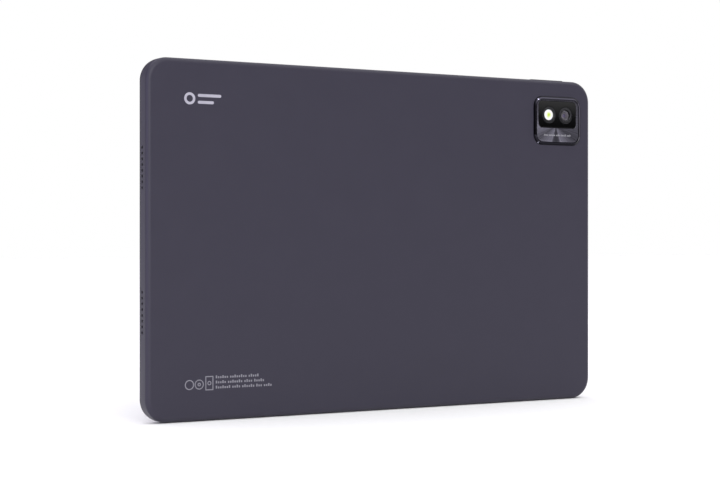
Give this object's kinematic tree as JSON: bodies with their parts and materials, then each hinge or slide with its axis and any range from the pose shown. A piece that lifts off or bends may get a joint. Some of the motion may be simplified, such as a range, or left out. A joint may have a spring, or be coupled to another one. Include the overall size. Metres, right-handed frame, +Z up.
{
  "type": "tablet computer",
  "caption": "Slim landscape tablet computer with a metal rear cover, a corner camera bump, side speaker grilles, a full glass front, buttons, ports and a card tray.",
  "frame": {"origin": "middle of the long bottom edge: midway across the width, midway between the front glass and the camera rim, at the lowest point", "axes": "+X along the long side towards the speaker grilles, +Y out of the rear cover (the screen faces -Y), +Z up, with the tablet upright in landscape"},
  "size_m": [0.242, 0.0094, 0.159],
  "materials": {
    "cover_metal": "fine satin, dark violet grey",
    "black_plastic": "fine matt",
    "front_glass": "glossy black glass",
    "clear_glass": "coated lens glass",
    "polished_metal": "polished, dark",
    "spun_metal": "spun, dark grey",
    "flash_plastic": "clear diffuser over a yellow emitter",
    "phosphor": "matt",
    "steel": "stamped",
    "dark_steel": "dark plated",
    "circuit_board": "solder mask",
    "chip_black": "matt moulding",
    "flex_amber": "polyimide film",
    "pouch_foil": "laminated foil",
    "tape_foam": "foam tape",
    "screen_film": "polariser film",
    "wire_jacket": "smooth",
    "cone_film": "matt film"
  },
  "bodies": {
    "housing": {"rear_cover": "cover_metal", "front_frame": "black_plastic", "front_glass": "front_glass", "glass_tape": "tape_foam", "lcd_panel": "screen_film", "backlight": "screen_film", "mid_plate": "cover_metal", "camera_rim": "polished_metal", "camera_plate": "spun_metal", "camera_window": "front_glass", "lens_bezel": "black_plastic", "lens_glass": "clear_glass", "flash_bezel": "black_plastic", "flash_lens": "flash_plastic", "flash_board": "circuit_board", "flash_led": "phosphor", "rear_camera_body": "chip_black", "front_camera": "chip_black", "main_board": "circuit_board", "processor_shield": "steel", "radio_shield": "steel", "processor_chip": "chip_black", "memory_chip": "chip_black", "microphone": "steel", "usb_shell": "steel", "usb_tongue": "chip_black", "headphone_jack": "black_plastic", "card_reader": "steel", "battery_cell_a": "pouch_foil", "battery_cell_b": "pouch_foil", "battery_board": "circuit_board", "battery_flex": "flex_amber", "power_switch": "steel", "volume_switch_up": "steel", "volume_switch_down": "steel", "button_flex": "flex_amber", "display_flex": "flex_amber", "wifi_antenna": "flex_amber", "speaker_upper_box": "black_plastic", "speaker_lower_box": "black_plastic", "speaker_upper_magnet": "dark_steel", "speaker_lower_magnet": "dark_steel", "speaker_upper_mesh": "dark_steel", "speaker_lower_mesh": "dark_steel", "speaker_upper_lead": "wire_jacket", "speaker_lower_lead": "wire_jacket", "board_screw_1": "steel", "board_screw_2": "steel", "board_screw_3": "steel", "board_screw_4": "steel", "speaker_screw_upper": "steel", "speaker_screw_lower": "steel"},
    "power_key": {"power_button": "cover_metal"},
    "volume_key": {"volume_rocker": "cover_metal"},
    "tray": {"card_tray": "cover_metal"},
    "focus_barrel": {"rear_camera_lens": "black_plastic"},
    "upper_cone": {"speaker_upper_cone": "cone_film"},
    "lower_cone": {"speaker_lower_cone": "cone_film"}
  },
  "joints": [
    {"name": "power_press", "type": "slide", "parent": "housing", "child": "power_key", "axis": [1, 0, 0], "range_m": [0, 0.0003], "stiffness_N_per_m": 5000},
    {"name": "volume_tilt", "type": "hinge", "parent": "housing", "child": "volume_key", "pos_m": [-0.0962, -0.00045, 0.15665], "axis": [0, 1, 0], "range_deg": [-1.4, 1.4], "stiffness_Nm_per_rad": 0.6},
    {"name": "tray_slide", "type": "slide", "parent": "housing", "child": "tray", "axis": [-1, 0, 0], "range_m": [0, 0.0285]},
    {"name": "lens_focus", "type": "slide", "parent": "housing", "child": "focus_barrel", "axis": [0, 1, 0], "range_m": [0, 0.00025], "stiffness_N_per_m": 200},
    {"name": "upper_cone_stroke", "type": "slide", "parent": "housing", "child": "upper_cone", "axis": [0, 1, 0], "range_m": [-0.0002, 0.0002], "stiffness_N_per_m": 1000},
    {"name": "lower_cone_stroke", "type": "slide", "parent": "housing", "child": "lower_cone", "axis": [0, 1, 0], "range_m": [-0.0002, 0.0002], "stiffness_N_per_m": 1000}
  ]
}
